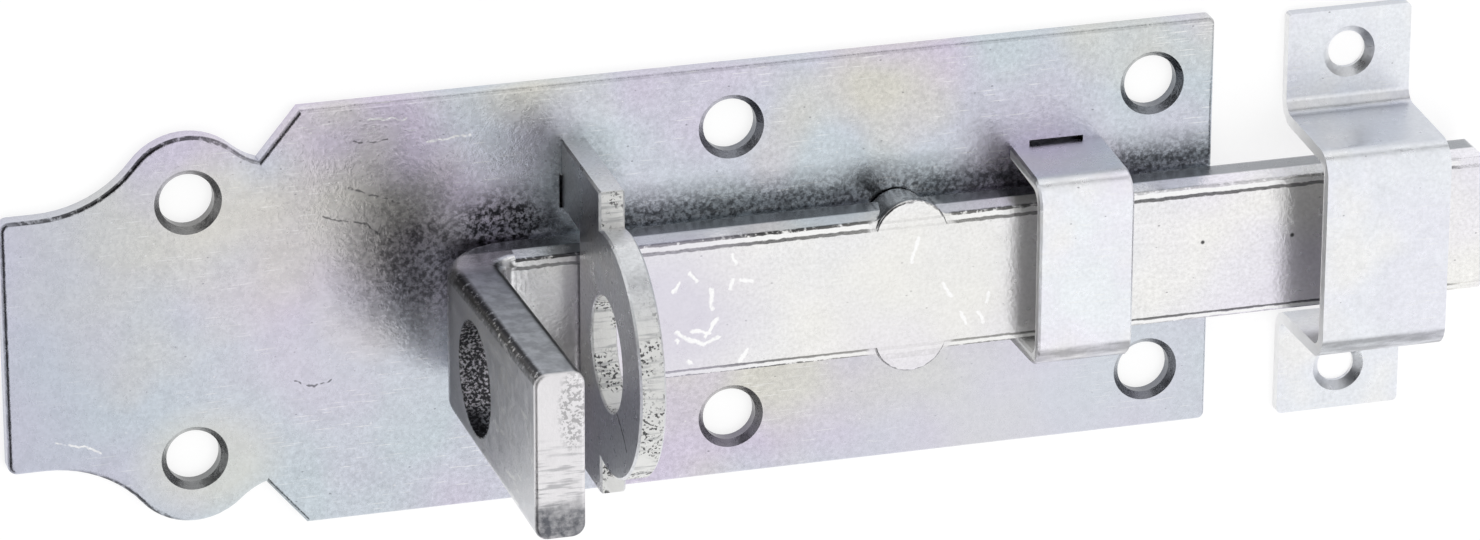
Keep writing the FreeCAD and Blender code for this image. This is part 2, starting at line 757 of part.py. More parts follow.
bodies = [make_plate(), make_staple(), make_strap(), make_bolt(), make_keeper()]
check(bodies)
os.makedirs("parts", exist_ok=True)
for body in bodies:
    box = body.Shape.BoundBox
    print(
        f"{body.Label:15s} X {box.XMin:7.2f} {box.XMax:7.2f}  Y {box.YMin:7.2f} {box.YMax:7.2f}"
        f"  Z {box.ZMin:6.2f} {box.ZMax:6.2f}  {body.Shape.Volume / 1000:6.2f} cm3"
    )
    body.Shape.exportStep(f"parts/{body.Label}.step")
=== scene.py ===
# %% [markdown]
# # A padlock door bolt in zinc-plated steel
#
# A bolt like this is a pressed steel plate with a flat bar that slides on it, through an upright staple and under a
# bent strap. The bar's end is turned up into a lug, and a padlock through the lug and the staple locks it. At the
# other end the bar's nose enters a loose keeper. The five pieces are already modelled as solids, and they come in
# here as they are, so this lesson is about what is left: the camera, the light and the plating. It starts by loading
# the solids and noting how much room they take.

# %% Load the solids and note their size
import bpy
import math
from types import SimpleNamespace
import numpy as np
from mathutils import Matrix, Vector

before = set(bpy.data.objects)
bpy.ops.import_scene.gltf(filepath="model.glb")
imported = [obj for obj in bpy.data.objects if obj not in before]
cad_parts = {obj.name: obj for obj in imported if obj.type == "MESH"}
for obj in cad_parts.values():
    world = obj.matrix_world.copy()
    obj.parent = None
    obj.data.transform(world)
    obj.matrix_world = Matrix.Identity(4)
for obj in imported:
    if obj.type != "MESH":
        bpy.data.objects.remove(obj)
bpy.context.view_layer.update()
MM = 0.001
print("nodes:", sorted(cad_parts))

# %% [markdown]
# ## The camera
#
# The photograph was taken from above and a little from the left with a long lens, so the lines hardly run together.
# A camera could be put in place by eye. Here its place is an aim on the plate and a distance along a direction, both
# fitted to the plate's corners and holes, and a turn of a sixth of a degree levels it as the photograph is. The lens
# is given in millimetres for a sensor 36 mm wide.

# %% Where the camera stands
SWING, RISE, ROLL = map(math.radians, (16.3185, 22.4752, 0.1674))
AIM = Vector((14.575, -0.669, 0.0)) * MM
DISTANCE = 845.53 * MM
back = Vector((-math.sin(SWING) * math.cos(RISE), math.sin(RISE), math.cos(SWING) * math.cos(RISE)))
level = Vector((math.cos(SWING), 0, math.sin(SWING)))
upright = back.cross(level)
right = math.cos(ROLL) * level + math.sin(ROLL) * upright
top = math.cos(ROLL) * upright - math.sin(ROLL) * level
print("from the aim to the camera:", [round(c, 3) for c in back])

# %% The camera and its lens
lens = bpy.data.cameras.new("camera")
lens.lens, lens.sensor_width = 182.432, 36
camera = bpy.data.objects.new("camera", lens)
camera.matrix_world = Matrix.Translation(AIM + back * DISTANCE) @ Matrix((right, top, back)).transposed().to_4x4()
bpy.context.scene.collection.objects.link(camera)
bpy.context.scene.camera = camera
bpy.context.scene.view_settings.view_transform = "Standard"
print("camera stands at, in mm:", [round(c / MM, 1) for c in camera.location])

# %% [markdown]
# ## Colours and nodes
#
# A colour is written as the eye reads it on a screen, in sRGB, and a shader wants linear light, so one function turns
# one into the other. One more function adds any shader node with its settings and links, and gives back its output.
# Everything that follows is said with these two, so that a finish reads as a list of what was laid on.

# %% From a written colour to linear light
def linear(text):
    """Turns an sRGB hex colour into linear light: below 0.04045 divided by 12.92, above it a power of 2.4."""
    channels = np.array([int(text[i:i + 2], 16) for i in (1, 3, 5)]) / 255
    low, high = channels / 12.92, ((channels + 0.055) / 1.055) ** 2.4
    return (*np.where(channels <= 0.04045, low, high), 1.0)


print("mid grey in linear light:", [round(float(c), 3) for c in linear("#808080")])

# %% Add a node
def add(tree, kind, *values, out=0, **settings):
    """Adds one shader node and gives back one of its outputs, or the node itself where out is None.

    Settings are the node's properties. Values go to its inputs in order, or one dict says which input gets which.
    A value is a number, a vector, a hex colour or another node's output.
    """
    made = tree.nodes.new("ShaderNode" + kind)
    for name, value in settings.items():
        setattr(made, name, value)
    named = values[0] if values and isinstance(values[0], dict) else dict(enumerate(values))
    for socket, value in named.items():
        if isinstance(value, bpy.types.NodeSocket):
            tree.links.new(value, made.inputs[socket])
        else:
            made.inputs[socket].default_value = linear(value) if isinstance(value, str) else value
    return made if out is None or not made.outputs else made.outputs[out]


print("a node is added with its settings and its links in one line")

# %% [markdown]
# ## The studio
#
# Bright metal has hardly a colour of its own: it shows the room. A picture of a room could light it, but a plain one
# can be built: a white ceiling and a white table. A low ring of grey card stands round the table, so that each turned
# edge draws a dark line. A large grey card hangs on the left, and the faces that look left mirror it and go dark, as
# in the photograph. The background is white for what the camera sees and for what the metal mirrors, and the table
# still takes a soft shadow.

# %% White for the camera and for mirrors, a little dimmer as light
def white_seen(tree):
    """A factor that is 1 for rays from the camera, in a mirror or through glass, and 0 for the rest."""
    path = add(tree, "LightPath", out=None).outputs
    seen = add(tree, "Math", path["Is Camera Ray"], path["Is Glossy Ray"], operation="MAXIMUM")
    return add(tree, "Math", seen, path["Is Transmission Ray"], operation="MAXIMUM")


world = bpy.data.worlds.new("white_studio")
bpy.context.scene.world = world
world.use_nodes = True
tree = world.node_tree
tree.nodes.clear()
dim = add(tree, "Background", "#FFFFFF", 0.75)
white = add(tree, "Background", "#FFFFFF", 1.0)
add(tree, "OutputWorld", add(tree, "MixShader", white_seen(tree), dim, white))
print("the room:", world.name)

# %% The table's paper
GLOW = 0.74
SLOTS_MIDDLE, SLOTS_REACH = (13, 0), (53, 14)

paper = bpy.data.materials.new("white_table_paper")
paper.use_nodes = True
tree = paper.node_tree
tree.nodes.clear()
# The paper glows a little, so that it is white in the picture. Under the plate's slots it doesn't, and they look
# black, as they do over wood.
place = add(tree, "SeparateXYZ", add(tree, "TexCoord", out="Object"), out=None).outputs
inside_x = add(tree, "Math", place[0], SLOTS_MIDDLE[0] * MM, SLOTS_REACH[0] * MM, operation="COMPARE")
inside_y = add(tree, "Math", place[1], SLOTS_MIDDLE[1] * MM, SLOTS_REACH[1] * MM, operation="COMPARE")
under = add(tree, "Math", inside_x, inside_y, operation="MULTIPLY")
glow = add(tree, "Emission", "#FFFFFF", add(tree, "Math", under, -GLOW, GLOW, operation="MULTIPLY_ADD"))
lit = add(tree, "AddShader", add(tree, "BsdfDiffuse", "#9A9A9A"), glow)
add(tree, "OutputMaterial", add(tree, "MixShader", white_seen(tree), add(tree, "BsdfDiffuse", "#FFFFFF"), lit))
print("table paper glows at", GLOW, "except under the slots")

# %% Grey card
card = bpy.data.materials.new("grey_card")
card.use_nodes = True
card.node_tree.nodes["Principled BSDF"].inputs["Base Color"].default_value = linear("#3C3C3C")
card.node_tree.nodes["Principled BSDF"].inputs["Roughness"].default_value = 0.9
print("cards are of", card.name)

# %% A surface from a grid of points
def surface(name, points, material):
    """Makes a mesh from a grid of points worked out as one array, with one quad between each four neighbours."""
    rows, columns = points.shape[:2]
    index = np.arange(rows * columns).reshape(rows, columns)
    quads = np.stack([index[:-1, :-1], index[1:, :-1], index[1:, 1:], index[:-1, 1:]], axis=-1).reshape(-1, 4)
    mesh = bpy.data.meshes.new(name)
    mesh.from_pydata(points.reshape(-1, 3).tolist(), [], quads.tolist())
    mesh.materials.append(material)
    thing = bpy.data.objects.new(name, mesh)
    bpy.context.scene.collection.objects.link(thing)
    print(name, "has", len(quads), "faces")
    return thing


# The table is flat: (u, v, 0), 6 m square.
u, v = np.meshgrid(np.linspace(-3, 3, 3), np.linspace(-3, 3, 3), indexing="ij")
table = surface("table", np.stack([u, v, np.zeros_like(u)], axis=-1), paper)

# %% The two cards
RING_RADIUS, RING_FOOT, RING_HEIGHT = 0.9, 0.02, 0.12
CARD_HEIGHT = 3.0
# The ring is a part of a cylinder: (r cos u, r sin u, foot + height v). It is open at the near side.
u, v = np.meshgrid(np.radians(np.linspace(-35, 235, 55)), np.linspace(0, 1, 2), indexing="ij")
ring = np.stack([RING_RADIUS * np.cos(u), RING_RADIUS * np.sin(u), RING_FOOT + RING_HEIGHT * v], axis=-1)
# The left card is flat, high above the left half of the room: (u, v, height).
u, v = np.meshgrid([-6.6, -0.36], [-6.0, 6.0], indexing="ij")
sheet = np.stack([u, v, np.full_like(u, CARD_HEIGHT)], axis=-1)
wall, hood = surface("wall_card", ring, card), surface("left_card", sheet, card)
for thing in (wall, hood):
    thing.visible_camera = thing.visible_diffuse = thing.visible_shadow = False
print("stage:", table.name, wall.name, hood.name)

# %% The lamp
# It lights the table only, for a soft shadow towards the left. The metal gets its light from the room.
soft = bpy.data.lights.new("soft_box", "AREA")
soft.shape, soft.size, soft.size_y, soft.energy = "RECTANGLE", 0.8, 0.6, 2.1
lamp = bpy.data.objects.new("soft_box", soft)
lamp.location = (0.30, -0.25, 0.80)
lamp.rotation_euler = (-lamp.location).to_track_quat("-Z", "Y").to_euler()
lamp.visible_glossy = False
bpy.context.scene.collection.objects.link(lamp)
print("one soft box of", soft.energy, "W, to the right and in front")

# %% [markdown]
# ## Zinc plate: patterns in millimetres
#
# All five pieces are mild steel, pressed, cut or bent, and then tumbled in a barrel while zinc is plated on them and
# passivated clear blue. Pictures of such metal could be wrapped round the pieces, but each would bring its own light
# and seams. A noise at the piece's own coordinates has no seam, and its size can be said in millimetres. The first
# pattern is clouds: the slow drift of the passivation's tint, the mottling of a pickled sheet, or fine grain.

# %% Places in millimetres, and clouds
def in_mm(tree):
    """Places in millimetres: the object's own coordinates times a thousand."""
    return add(tree, "Mapping", {"Vector": add(tree, "TexCoord", out="Object"), "Scale": (1000,) * 3})


def clouds(tree, mm, size, detail=3.0, seed=0.0, stretch=(1, 1, 1)):
    """A noise of cells size mm across, stretched along each axis, from 0 to 1 with its middle at a half."""
    spot = add(tree, "Mapping", {"Vector": mm, "Location": (seed,) * 3,
                                 "Scale": tuple(1 / (size * s) for s in stretch)})
    return add(tree, "TexNoise", {"Vector": spot, "Scale": 1.0, "Detail": detail, "Roughness": 0.6})


print("patterns are measured in mm")

# %% [markdown]
# ## Specks and barrel scratches
#
# Parts that tumble together get short scratches in all directions, and dust leaves pale and dark specks in the
# plating. They could be placed one by one, but there are thousands. A drift of cells does it: each cell has an ellipse
# round its middle, and a draw of the cell's own colour leaves most cells empty. Real ones are 0.02 to 0.1 mm wide,
# which is finer than a pixel here, so they are drawn 0.13 to 0.22 mm wide.

# %% Ellipses in a drift of cells
def marks(tree, mm, cell, long, wide, share, turn=0.0, seed=0.0):
    """Ellipses long by wide mm, turned by turn: one in each cell mm across, of which only a share gets one."""
    spot = add(tree, "Mapping", {"Vector": mm, "Location": (seed,) * 3, "Rotation": (0, 0, turn),
                                 "Scale": (1 / cell, long / wide / cell, 1 / cell)})
    cells = add(tree, "TexVoronoi", {"Vector": spot, "Scale": 1.0}, out=None).outputs
    picked = add(tree, "Math", add(tree, "SeparateColor", cells["Color"]), share, operation="LESS_THAN")
    reach = long / 2 / cell
    inside = add(tree, "MapRange", cells["Distance"], reach * 0.6, reach, 1.0, 0.0)
    return add(tree, "Math", inside, picked, operation="MULTIPLY")


print("a mark is an ellipse in a cell")

# %% [markdown]
# ## Masks: bands, patches and drawn scratches
#
# Wear, dirt and painted shade have their own places: along a rim, round a hole, in a corner. A mask says where, from
# 0 to 1. A band holds between two values, such as two heights. A patch is a soft ellipsoid. A scratch that the
# photograph shows is drawn through measured places, and those are pushed about a little, because a ruled line looks
# drawn.

# %% Overlap, band and patch
def overlap(tree, *masks):
    """Where all masks hold at once: their product."""
    held, *rest = masks
    for mask in rest:
        held = add(tree, "Math", held, mask, operation="MULTIPLY")
    return held


def band(tree, value, low, high, soft):
    """1 where a value lies between low and high, falling to 0 over soft outside them."""
    return overlap(tree, add(tree, "MapRange", value, low - soft, low),
                   add(tree, "MapRange", value, high, high + soft, 1.0, 0.0))


def patch(tree, mm, centre, reach, core=0.5):
    """A soft ellipsoid: 1 out to core of its reach along each axis, falling to 0 at its reach."""
    away = add(tree, "VectorMath", mm, centre, operation="SUBTRACT")
    away = add(tree, "VectorMath", away, reach, operation="DIVIDE")
    return add(tree, "MapRange", add(tree, "VectorMath", away, operation="LENGTH", out="Value"), core, 1.0, 1.0, 0.0)


print("masks run from 0 to 1")

# %% Ragged places and scratches
def ragged(tree, mm, size, amount):
    """Places pushed about by clouds of size mm: place + 2 x amount x (cloud - 0.5), mostly under half of amount."""
    push = add(tree, "TexNoise", {"Vector": mm, "Scale": 1 / size, "Detail": 2.0}, out="Color")
    push = add(tree, "VectorMath", push, (-0.5,) * 3, operation="ADD")
    push = add(tree, "VectorMath", {0: push, "Scale": amount * 2}, operation="SCALE")
    return add(tree, "VectorMath", mm, push, operation="ADD")


def stroke(tree, mm, places, wide):
    """A scratch through places: 1 within 0.3 of wide mm of its line, falling to 0 at 0.7.

    The nearest point of a straight run is its start plus a share of the run, and the share is the way from the
    start times the run over the run's length squared, held between 0 and 1.
    """
    nearest = None
    for start, end in zip(places, places[1:]):
        run = Vector(end) - Vector(start)
        away = add(tree, "VectorMath", mm, start, operation="SUBTRACT")
        share = add(tree, "VectorMath", away, run / run.length_squared, operation="DOT_PRODUCT", out="Value")
        foot = add(tree, "VectorMath", {0: run, "Scale": add(tree, "MapRange", share, 0.0, 1.0)}, operation="SCALE")
        gap = add(tree, "VectorMath", away, foot, operation="DISTANCE", out="Value")
        nearest = gap if nearest is None else add(tree, "Math", nearest, gap, operation="MINIMUM")
    return add(tree, "MapRange", nearest, wide * 0.3, wide * 0.7, 1.0, 0.0)


def scratches(tree, mm, height, runs, wide):
    """Several scratches as one mask, each through places (x, y) of a flat face at one height."""
    mask = 0.0
    for run in runs:
        drawn = stroke(tree, mm, [(x, y, height) for x, y in run], wide)
        mask = add(tree, "Math", mask, drawn, operation="MAXIMUM")
    return mask


print("scratches are drawn through places")

# %% [markdown]
# ## The plating that all five share
#
# Zinc mirrors the room softly. The passivation is a film thinner than a wavelength of light, so it tints the metal in
# slow clouds of blue grey, lilac and cream. Over them lie the grain, the specks and the barrel's scratches. Each
# finish starts here with its own tints, drift of the tints in mm, grain, roughness and seed, and is kept as one
# bundle. A coat then lays a colour over what is there, as strongly as its masks say. Zinc's crystals are some
# 0.05 mm across, too fine to show here, so the grain is drawn at 0.45 mm.

# %% A coat over a finish
def coat(finish, colour, strength, *masks):
    """Lays a colour over a finish, as strongly as strength times all the masks."""
    laid = overlap(finish.tree, strength, *masks)
    finish.colour = add(finish.tree, "Mix", {0: laid, 6: finish.colour, 7: colour}, data_type="RGBA", out=2)


print("a coat goes over what is there")

# %% Barrel-plated zinc
def zinc(name, tints, drift, grain, roughness, seed):
    """Starts a finish: three tints in clouds drift mm across, shade, specks, scratches, roughness and relief."""
    metal = bpy.data.materials.new(name)
    metal.use_nodes = True
    tree = metal.node_tree
    tree.nodes["Principled BSDF"].inputs["Metallic"].default_value = 1.0
    mm = in_mm(tree)
    x, y, z = add(tree, "SeparateXYZ", mm, out=None).outputs
    facing = add(tree, "SeparateXYZ", add(tree, "NewGeometry", out="Normal"), out=None).outputs
    fine = clouds(tree, mm, 0.45, 4.0, seed)
    finish = SimpleNamespace(metal=metal, tree=tree, mm=mm, x=x, y=y, z=z, facing=facing, grain=grain, relief=fine,
                             colour=tints[0])
    coat(finish, tints[1], add(tree, "MapRange", clouds(tree, mm, drift, 2.0, seed), 0.42, 0.60))
    coat(finish, tints[2], add(tree, "MapRange", clouds(tree, mm, drift * 0.8, 2.0, seed + 40), 0.50, 0.66))
    shade = add(tree, "Math", clouds(tree, mm, 4.0, 4.0, seed), 0.14, 0.93 - 8 * grain, operation="MULTIPLY_ADD")
    shade = add(tree, "Math", fine, 16 * grain, shade, operation="MULTIPLY_ADD")
    finish.colour = add(tree, "Mix", {0: 1.0, 6: finish.colour, 7: shade}, data_type="RGBA", blend_type="MULTIPLY",
                        out=2)
    worn = add(tree, "MapRange", clouds(tree, mm, 9.0, 2.0, seed + 60), 0.46, 0.56)
    rubs = overlap(tree, marks(tree, mm, 4.4, 3.0, 0.13, 0.22, 0.25, seed + 3), worn)
    nicks = overlap(tree, marks(tree, mm, 3.4, 1.8, 0.14, 0.20, 2.3, seed + 9), worn)
    pale = marks(tree, mm, 1.6, 0.36, 0.22, 0.22, 1.1, seed + 7)
    pale = add(tree, "Math", pale, add(tree, "Math", rubs, nicks, operation="MAXIMUM"), operation="MAXIMUM")
    coat(finish, "#55555C", 0.55, marks(tree, mm, 1.7, 0.34, 0.20, 0.28, 0.4, seed))
    coat(finish, "#F8F8F6", 0.5, pale)
    finish.rough = add(tree, "MapRange", clouds(tree, mm, 1.5, 3.0, seed + 20), 0.3, 0.7, roughness - 0.05,
                       roughness + 0.07)
    return finish


print("zinc is ready")

# %% Dress a piece
def dress(node, finish):
    """Wires a finish into its shader and puts the metal in the piece's material slots."""
    tree, shader = finish.tree, finish.tree.nodes["Principled BSDF"]
    bump = add(tree, "Bump", {"Height": finish.relief, "Strength": 1.0, "Distance": finish.grain * MM})
    for socket, value in (("Base Color", finish.colour), ("Roughness", finish.rough), ("Normal", bump)):
        tree.links.new(value, shader.inputs[socket])
    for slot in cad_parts[node].material_slots:
        slot.material = finish.metal
    print(node, "wears", finish.metal.name, "of", len(tree.nodes), "shader nodes")


print("slots of each piece:", {node: len(thing.material_slots) for node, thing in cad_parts.items()})

# %% [markdown]
# ## The plate
#
# The plate is pressed from 2 mm sheet, so its front rim is rolled and its holes are countersunk. Its tint changes
# along its length: bluer at the tail, lilac in the middle, with a cream ring round each tail hole where the
# passivation ran off the edge. Such tints could be left to chance, but these have places in the photograph, so they
# are soft patches.

# %% The plate's tints
plate = zinc("zinc_on_pressed_plate", ("#CAD3DA", "#D2CADC", "#D7D5CD"), drift=32.0, grain=0.04, roughness=0.25,
             seed=0.0)
tree, mm = plate.tree, plate.mm
coat(plate, "#C0C6D4", 0.6, add(tree, "MapRange", plate.x, -44.0, -64.0))
coat(plate, "#D9DBE4", 0.7, patch(tree, mm, (48.0, -20.0, 1.0), (34.0, 22.0, 9.0), 0.2))
rings = add(tree, "Math", patch(tree, mm, (-47.5, -15.8, 2.0), (9.5, 7.5, 6.0)),
            patch(tree, mm, (-46.0, 14.5, 2.0), (7.0, 7.0, 6.0)), operation="MAXIMUM")
coat(plate, "#DFDDD2", 0.55, rings)
coat(plate, "#D8D2E0", 0.5, patch(tree, mm, (-34.0, 0.0, 2.0), (22.0, 19.0, 9.0), 0.3))
print("the plate has its tints")

# %% Painted shade in the countersinks and along the rolled rim
SCREW_HOLES = [(x, side * y) for x, y in ((-49.0, 15.3), (12.95, 17.6), (62.55, 17.6)) for side in (1, -1)]
holes = 0.0
for centre in SCREW_HOLES:
    around = patch(tree, mm, (*centre, 1.5), (4.6, 4.6, 3.0), 0.9)
    holes = add(tree, "Math", holes, around, operation="MAXIMUM")
leftward = add(tree, "Math", plate.facing[0], -1.0, operation="MULTIPLY")
left_or_up = add(tree, "Math", plate.facing[1], leftward, operation="MAXIMUM")
# The countersinks' walls that look left or up are painted darker: painted shade.
coat(plate, "#3E4046", holes, add(tree, "MapRange", plate.facing[2], 0.97, 0.90),
     add(tree, "MapRange", left_or_up, -0.3, 0.5, 0.25, 0.70))
# The rolled rim's sloping faces that look left or up get a broken dark line of painted shade, strongest towards the
# tail.
coat(plate, "#1E1E22", 0.85,
     band(tree, plate.facing[2], 0.30, 0.93, 0.05),
     add(tree, "MapRange", left_or_up, 0.05, 0.3),
     add(tree, "MapRange", clouds(tree, mm, 0.9, 3.0, 2.0), 0.36, 0.50, 0.35, 1.0),
     add(tree, "MapRange", plate.x, -49.0, -34.0, 1.0, 0.22),
     add(tree, "MapRange", plate.x, -69.6, -67.6, 0.45, 1.0),
     add(tree, "Math", 1.0, holes, operation="SUBTRACT"))
print("screw holes at", SCREW_HOLES)

# %% [markdown]
# ## Painted shade on the plate
#
# The plate is painted darker where shade falls: in a strip along the bar's far side, round the staple's foot, and in a
# broad dark patch behind the lug. A flat dark colour would look like paint, so the painted shade is broken up by pits
# 0.45 mm across.

# %% Painted shade beside the bar and behind the lug
beside = overlap(tree, add(tree, "MapRange", plate.y, 12.5, 8.6), add(tree, "MapRange", plate.y, 6.0, 7.0),
                 band(tree, plate.x, -3.0, 71.0, 1.0))
behind = overlap(tree, 1.25, patch(tree, mm, (-13.5, 8.6, 2.0), (10.0, 6.2, 6.0), 0.35))
tail_patch = patch(tree, mm, (-22.5, 5.5, 2.0), (11.5, 12.5, 6.0), 0.30)
at_staple = patch(tree, mm, (-4.5, 12.0, 2.0), (5.5, 9.0, 6.0), 0.2)
grime = beside
for place in (tail_patch, behind, at_staple):
    grime = add(tree, "Math", grime, place, operation="MAXIMUM")
pits = add(tree, "MapRange", clouds(tree, mm, 0.45, 3.0, 70.0), 0.40, 0.60)
# Painted shade on the plate, darker in the pits.
coat(plate, "#2C2C30", grime, add(tree, "Math", pits, 0.46, 0.40, operation="MULTIPLY_ADD"))
print("the plate has its grime")

# %% The plate's own scratches, from the photograph
PLATE_FRONT = 2
loose = ragged(tree, mm, 1.2, 0.5)
DARK_LINES = (((-37.5, -7.4), (-35.5, -8.2), (-33.5, -7.7)), ((-30.2, 20.4), (-26.5, 20.1)), ((-31, 15), (-25, 12.5)),
              ((-34, 12), (-29, 10.5), (-26, 8)))
PALE_LINES = (((-28.5, 22.9), (-24.4, 22.5)), ((-64.5, -11.7), (-61.9, -12.3), (-59.5, -13.4)),
              ((-22, 19.5), (-17, 19.9)))
coat(plate, "#3C3C42", 0.7, scratches(tree, loose, PLATE_FRONT, DARK_LINES, 0.22))
coat(plate, "#FAFAFA", 0.8, scratches(tree, loose, PLATE_FRONT, PALE_LINES, 0.26))
print(len(DARK_LINES), "dark and", len(PALE_LINES), "pale scratches")
dress("base_plate", plate)

# %% [markdown]
# ## The staple
#
# The staple is cut from thick strip: its faces are drawn smooth and its rim and hole are sheared. A sheared edge is
# first burnished and then torn, so it is paler, rougher and pitted, with fine lines across. It could be a material of
# its own, but the plating runs over both, so a mask finds the sheared part: from the ear's middle it lies within the
# hole's radius or beyond the ear's. One crack runs on the left face from the hole down to the rim.

# %% The staple's sheared rim and hole
EAR_MIDDLE = (0, 0, 20.7)
staple = zinc("zinc_on_cut_staple", ("#D8DADD", "#D6D4D9", "#DCDAD8"), drift=20.0, grain=0.045, roughness=0.30,
              seed=11.0)
tree, mm = staple.tree, staple.mm
flat = add(tree, "CombineXYZ", 0.0, staple.y, staple.z)
out = add(tree, "VectorMath", flat, EAR_MIDDLE, operation="DISTANCE", out="Value")
sideways = add(tree, "Math", staple.facing[0], operation="ABSOLUTE")
rim = overlap(tree, add(tree, "MapRange", out, 13.70, 13.86), add(tree, "MapRange", staple.z, 8.0, 10.0),
              add(tree, "MapRange", staple.facing[1], 0.8, 0.5), add(tree, "MapRange", sideways, 0.7, 0.5))
sheared = add(tree, "Math", rim, add(tree, "MapRange", out, 6.6, 6.45), operation="MAXIMUM")
coat(staple, "#F6F6F4", 0.9, sheared)
lines = add(tree, "MapRange", clouds(tree, mm, 0.5, 2.0, 15.0, (8.0, 1.0, 1.0)), 0.50, 0.66)
coat(staple, "#808288", 0.4, lines, sheared)
staple.rough = add(tree, "Math", sheared, 0.28, staple.rough, operation="MULTIPLY_ADD")
print("the staple's shear is laid on")

# %% The staple's pits and its crack
pits = overlap(tree, add(tree, "MapRange", clouds(tree, mm, 0.36, 1.0, 5.0), 0.55, 0.62),
               add(tree, "MapRange", clouds(tree, mm, 4.0, 1.0, 9.0), 0.44, 0.54), sheared)
crack = stroke(tree, ragged(tree, mm, 0.8, 0.3), ((-6.7, -5.3, 24.8), (-6.7, -6.6, 27.0), (-6.7, -8.2, 28.8)), 0.34)
dark = add(tree, "Math", pits, crack, operation="MAXIMUM")
coat(staple, "#26262A", 0.85, dark)
staple.relief = add(tree, "Math", dark, -0.6, staple.relief, operation="MULTIPLY_ADD")
dress("padlock_staple", staple)

# %% [markdown]
# ## The bar
#
# The bar is drawn flat steel. Its front edges are coined into a narrow ledge. The ledge gets a painted highlight, the
# corner at its foot painted shade, and its outer arris a broken painted dark line. Lines could be drawn, but they have
# to follow the ledge all along the bar, so each is a band of the distance from the bar's middle line. They stop at the
# swaged stops and fade towards the nose.

# %% The bar's ledges
BAR_MIDDLE, BAR_FRONT = -1.25, 8.5
STOPS = (32.15, 4.79), (32.15, -7.29)
bolt = zinc("zinc_on_drawn_bar", ("#ECECEE", "#EAE7F0", "#F2F1EE"), drift=26.0, grain=0.03, roughness=0.22, seed=31.0)
tree, mm = bolt.tree, bolt.mm
side = add(tree, "Math", add(tree, "SeparateXYZ", ragged(tree, mm, 1.0, 0.16), out=1), BAR_MIDDLE, operation="SUBTRACT")
side = add(tree, "Math", side, operation="ABSOLUTE")
swaged = add(tree, "Math", *(patch(tree, mm, (*stop, 8.0), (5.4, 5.4, 9.0), 0.9) for stop in STOPS),
             operation="MAXIMUM")
plain = add(tree, "Math", swaged, -0.85, 1.0, operation="MULTIPLY_ADD")
on_bar = overlap(tree, add(tree, "MapRange", bolt.x, -14.5, -13.5), add(tree, "MapRange", bolt.z, 9.0, 8.8),
                 add(tree, "MapRange", bolt.x, 98.5, 96.5), plain)
broken = add(tree, "MapRange", clouds(tree, mm, 0.7, 3.0, 3.0), 0.36, 0.48)
upper = add(tree, "MapRange", bolt.y, BAR_MIDDLE - 0.05, BAR_MIDDLE + 0.05)
lower = add(tree, "Math", 1.0, upper, operation="SUBTRACT")
# Each half: a painted highlight on the ledge, painted shade in the corner at its foot, and a broken painted dark line
# on the arris.
for half, foot, bright, edge in ((upper, (7.10, 7.32), (7.42, 7.84), (7.94, 8.20)),
                                 (lower, (7.10, 7.46), (7.58, 7.82), (7.96, 8.60))):
    here = overlap(tree, on_bar, half)
    coat(bolt, "#F8F8F8", 0.95, band(tree, side, *bright, 0.07), here)
    corner = overlap(tree, 0.75, band(tree, side, *foot, 0.07), here)
    arris = overlap(tree, 0.92, band(tree, side, *edge, 0.06), here, add(tree, "MapRange", bolt.z, 7.6, 7.8), broken,
                    add(tree, "MapRange", bolt.x, 44.0, 56.0, 1.0, 0.35))
    coat(bolt, "#1A1A1E", add(tree, "Math", corner, arris, operation="MAXIMUM"))
print("ledges from", BAR_MIDDLE + 7.4, "and", BAR_MIDDLE - 7.6, "mm")

# %% The bar's flank, tints and stops
# The lower part of the flank, which faces up, is painted darker grey: painted shade.
coat(bolt, "#8C9095", 0.9, add(tree, "MapRange", bolt.facing[1], 0.85, 0.95),
     add(tree, "MapRange", bolt.z, 6.25, 6.0), plain)
coat(bolt, "#EEEDE6", 0.4, patch(tree, mm, (33.0, -3.0, BAR_FRONT), (22.0, 13.0, 6.0), 0.4))
coat(bolt, "#D8D4E2", 0.75, patch(tree, mm, (3.0, -2.0, BAR_FRONT), (15.0, 14.0, 6.0), 0.3))
loose = ragged(tree, mm, 0.9, 0.35)
flat = add(tree, "CombineXYZ", bolt.x, add(tree, "SeparateXYZ", loose, out=1), 0.0)
# A broken dark ring at each stop's rim, near the bar's edges, is painted shade.
for stop in STOPS:
    away = add(tree, "VectorMath", flat, (*stop, 0.0), operation="DISTANCE", out="Value")
    coat(bolt, "#303036", 0.60, band(tree, away, 4.16, 4.30, 0.08), add(tree, "MapRange", side, 7.4, 7.7), broken)
print("two stops at", STOPS)

# %% [markdown]
# ## The bar's own scratches
#
# Behind the staple the bar has a knot of pale nicks from a padlock's shackle, and a few more lie along its face, with
# two dark specks and a scuff beside the upper stop. They are what makes it this bolt and no other, so each is drawn
# through its own places. A real nick is about 0.1 mm wide. The photograph shows them 3 pixels wide, so they are drawn
# 0.42 mm wide.

# %% Nicks, specks and a scuff
NICKS = (((4.4, 1.2), (4.9, 2.1)), ((6.3, 3.1), (7.1, 2.2)), ((11.2, 1.9), (11.0, 0.9)), ((11.2, 4.9), (11.6, 3.9)),
         ((8.8, 1.0), (8.8, -1.3)), ((12.2, 1.8), (13.4, 1.5)), ((4.7, -3.6), (5.7, -4.6), (7.9, -5.5), (9.7, -4.8)),
         ((8.1, -4.6), (9.4, -2.6)), ((6.4, -3.7), (8.6, -4.2)), ((4.7, -4.7), (4.9, -4.9)), ((6.1, -7.4), (6.3, -7.6)),
         ((13.0, -6.7), (12.1, -8.0)), ((32.9, 4.5), (32.2, 1.7)), ((35.9, -1.3), (36.9, -2.9)),
         ((41.4, -3.0), (41.1, -4.2)), ((38.0, -5.1), (38.7, -6.5)), ((40.1, -5.3), (40.7, -6.6)))
coat(bolt, "#FFFFFF", 0.95, scratches(tree, loose, BAR_FRONT, NICKS, 0.42))
